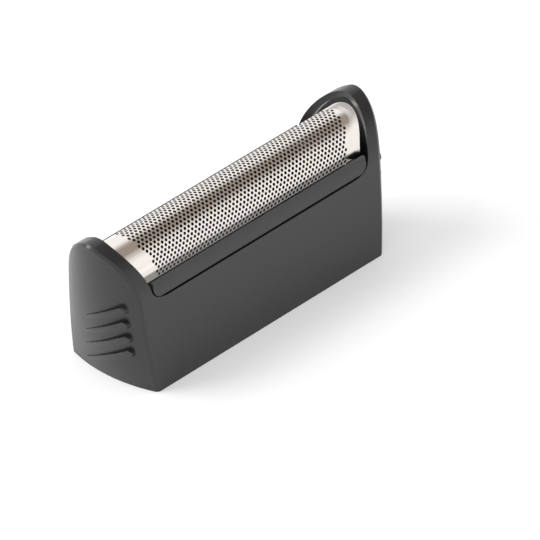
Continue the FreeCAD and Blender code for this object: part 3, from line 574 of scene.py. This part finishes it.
for side in (1, -1):
    cut(sheet, part_of(sheet, lambda spot: spot.x * side > BLOCK_LENGTH - 2 * HOLE_PITCH),
        (side * BLOCK_LENGTH, 0, 0), (side, 0, 0))
    cut(sheet, part_of(sheet, lambda spot: spot.y * side > BLOCK_REACH - 2 * ROW_PITCH),
        (0, side * BLOCK_REACH, 0), (0, side, 0))
print("block cut to %.1f x %.1f mm" % (2 * BLOCK_LENGTH / MM, 2 * BLOCK_REACH / MM))

# %% [markdown]
# The plain parts of the sheet are pulled out of the block's edges: the lower parts of the legs first, in three strips
# of which the middle one later holds slots, and the two ends after them. Separate plain sheets could lie beside the
# block, but pulled edges share their corners with it, so the foil stays one closed sheet.

# %% Plain borders
SLOT_NEAR = 10.26 * MM
SLOT_FAR = 11.06 * MM
STRIP_LENGTH = 27.2 * MM
EDGE_TOLERANCE = 0.01 * MM


def pull_edge(sheet, axis, side, start, end):
    """Pull a straight outer edge of the sheet out to a plain strip."""
    edges = [edge for edge in sheet.edges
             if edge.is_boundary and all(abs(vert.co[axis] * side - start) < EDGE_TOLERANCE for vert in edge.verts)]
    step = Vector((0, 0, 0))
    step[axis] = side * (end - start)
    move_new(sheet, bmesh.ops.extrude_edge_only(sheet, edges=edges), step)
    return len(edges)


for side in (1, -1):
    for start, end in ((BLOCK_REACH, SLOT_NEAR), (SLOT_NEAR, SLOT_FAR), (SLOT_FAR, sheet_reach)):
        leg_faces = pull_edge(sheet, 1, side, start, end)
for side in (1, -1):
    end_faces = pull_edge(sheet, 0, side, BLOCK_LENGTH, STRIP_LENGTH)
print("plain strips of", leg_faces, "and", end_faces, "faces")

# %% [markdown]
# The lower corners of the sheet are notched, because the carrier's end plates stand there. They are cut in the flat
# sheet, as in the factory. A Boolean could do it, but on a flat sheet planes are enough: they mark the outline, and
# the faces inside it are taken out.

# %% Notches
for side in (1, -1):
    for end in (1, -1):
        cut(sheet, part_of(sheet, lambda spot: spot.x * end > NOTCH_LENGTH - HOLE_PITCH and spot.y * side > 0),
            (0, side * NOTCH_REACH, 0), (0, side, 0), drop=False)
        cut(sheet, part_of(sheet, lambda spot: spot.y * side > NOTCH_REACH), (end * NOTCH_LENGTH, 0, 0),
            (end, 0, 0), drop=False)
corners = faces_where(sheet, lambda spot: abs(spot.x) > NOTCH_LENGTH and abs(spot.y) > NOTCH_REACH)
bmesh.ops.delete(sheet, geom=corners, context="FACES")
print(len(corners), "corner faces taken out")

# %% [markdown]
# Each leg has a row of slots that go over the carrier's studs and hold the foil. The middle strip of the leg already
# has their height, so only their ends are still to be cut, with one plane on each side of every stud.

# %% Slots
STUD_COUNT = 6
STUD_STEP = 7.36 * MM
SLOT_HALF_LENGTH = 0.65 * MM

stud_places = [(index - (STUD_COUNT - 1) / 2) * STUD_STEP for index in range(STUD_COUNT)]
for place in stud_places:
    for side in (1, -1):
        cut(sheet, part_of(sheet, lambda spot: abs(spot.y) > BLOCK_REACH),
            (place + side * SLOT_HALF_LENGTH, 0, 0), (side, 0, 0), drop=False)


def in_slot(spot):
    """Whether a spot of the flat sheet lies in one of the slots."""
    at_stud = any(abs(spot.x - place) < SLOT_HALF_LENGTH for place in stud_places)
    return SLOT_NEAR < abs(spot.y) < SLOT_FAR and at_stud


slots = faces_where(sheet, in_slot)
bmesh.ops.delete(sheet, geom=slots, context="FACES")
print(len(slots), "slot faces taken out")

# %% [markdown]
# Now the sheet is bent. A Simple Deform modifier bends to one radius only, and this arch has two. So every corner
# moves from its place in the flat sheet to its place on the arch, as worked out above.

# %% Bending
for vert in sheet.verts:
    vert.co.y, vert.co.z = arch_point(vert.co.y)
print("bent sheet %.1f mm deep" % (2 * max(vert.co.y for vert in sheet.verts) / MM))

# %% [markdown]
# The bowed ends are cut after bending, straight down, as they look from above. A round cutter could do it in one go,
# but a row of planes that lie against the curve one after another leaves a clean edge and needs no Boolean.

# %% Bowed ends
END_PLANES = 13
END_PLANE_TURN = math.radians(8)

for end in (1, -1):
    bow_middle = Vector((end * (half_length - END_BOW), 0, 0))
    for index in range(END_PLANES):
        turn = (index - (END_PLANES - 1) / 2) * END_PLANE_TURN
        outward = Vector((end * math.cos(turn), math.sin(turn), 0))
        cut(sheet, part_of(sheet, lambda spot: spot.x * end > BLOCK_LENGTH - 2 * HOLE_PITCH),
            bow_middle + outward * END_BOW, outward)
print("sheet with bowed ends:", len(sheet.faces), "faces")

# %% [markdown]
# Next the sheet gets its thickness. Normals are recalculated first and made to point up and out, so that the
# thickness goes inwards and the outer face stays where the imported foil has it.

# %% Thickness
FOIL_THICKNESS = 0.08 * MM

bmesh.ops.recalc_face_normals(sheet, faces=sheet.faces)
if sum(face.normal.z for face in sheet.faces) < 0:
    bmesh.ops.reverse_faces(sheet, faces=sheet.faces)
bmesh.ops.solidify(sheet, geom=sheet.faces[:], thickness=FOIL_THICKNESS)
bmesh.ops.recalc_face_normals(sheet, faces=sheet.faces)
print("sheet %.2f mm thick, %d faces" % (FOIL_THICKNESS / MM, len(sheet.faces)))

# %% [markdown]
# The outer face takes the bright metal, and the inner face and the hole walls take the dark one, which is painted
# shade. They could be picked by hand, but their direction tells them apart: only the outer face looks away from the
# arch.

# %% Outer and inner faces
OUTER_LIMIT = 0.5

for face in sheet.faces:
    spot = face.calc_center_median()
    outward = Vector((0, spot.y, max(spot.z - side_rise, 0))).normalized()
    if face.normal.dot(outward) < OUTER_LIMIT:
        face.material_index = 1
print(sum(face.material_index for face in sheet.faces), "inner faces")

# %% [markdown]
# Last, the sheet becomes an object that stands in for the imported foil. Shading is smooth, so the arch shows no flat
# facets, but edges sharper than 30 degrees stay crisp: the rims of the holes and of the sheet.

# %% The perforated foil
SHARP_ANGLE = math.radians(30)

foil_mesh = bpy.data.meshes.new("perforated_foil")
sheet.to_mesh(foil_mesh)
sheet.free()
foil_mesh.shade_smooth()
foil_mesh.set_sharp_from_angle(angle=SHARP_ANGLE)
foil_mesh.materials.append(foil_metal)
foil_mesh.materials.append(foil_inside_shade)
perforated_foil = bpy.data.objects.new("perforated_foil", foil_mesh)
bpy.context.collection.objects.link(perforated_foil)
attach(perforated_foil, "root")
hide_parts("foil")
low = [round(min(vert.co[axis] for vert in foil_mesh.vertices) / MM, 2) for axis in range(3)]
high = [round(max(vert.co[axis] for vert in foil_mesh.vertices) / MM, 2) for axis in range(3)]
triangles = sum(len(face.vertices) - 2 for face in foil_mesh.polygons)
print("foil from", low, "to", high, "mm,", triangles, "triangles")
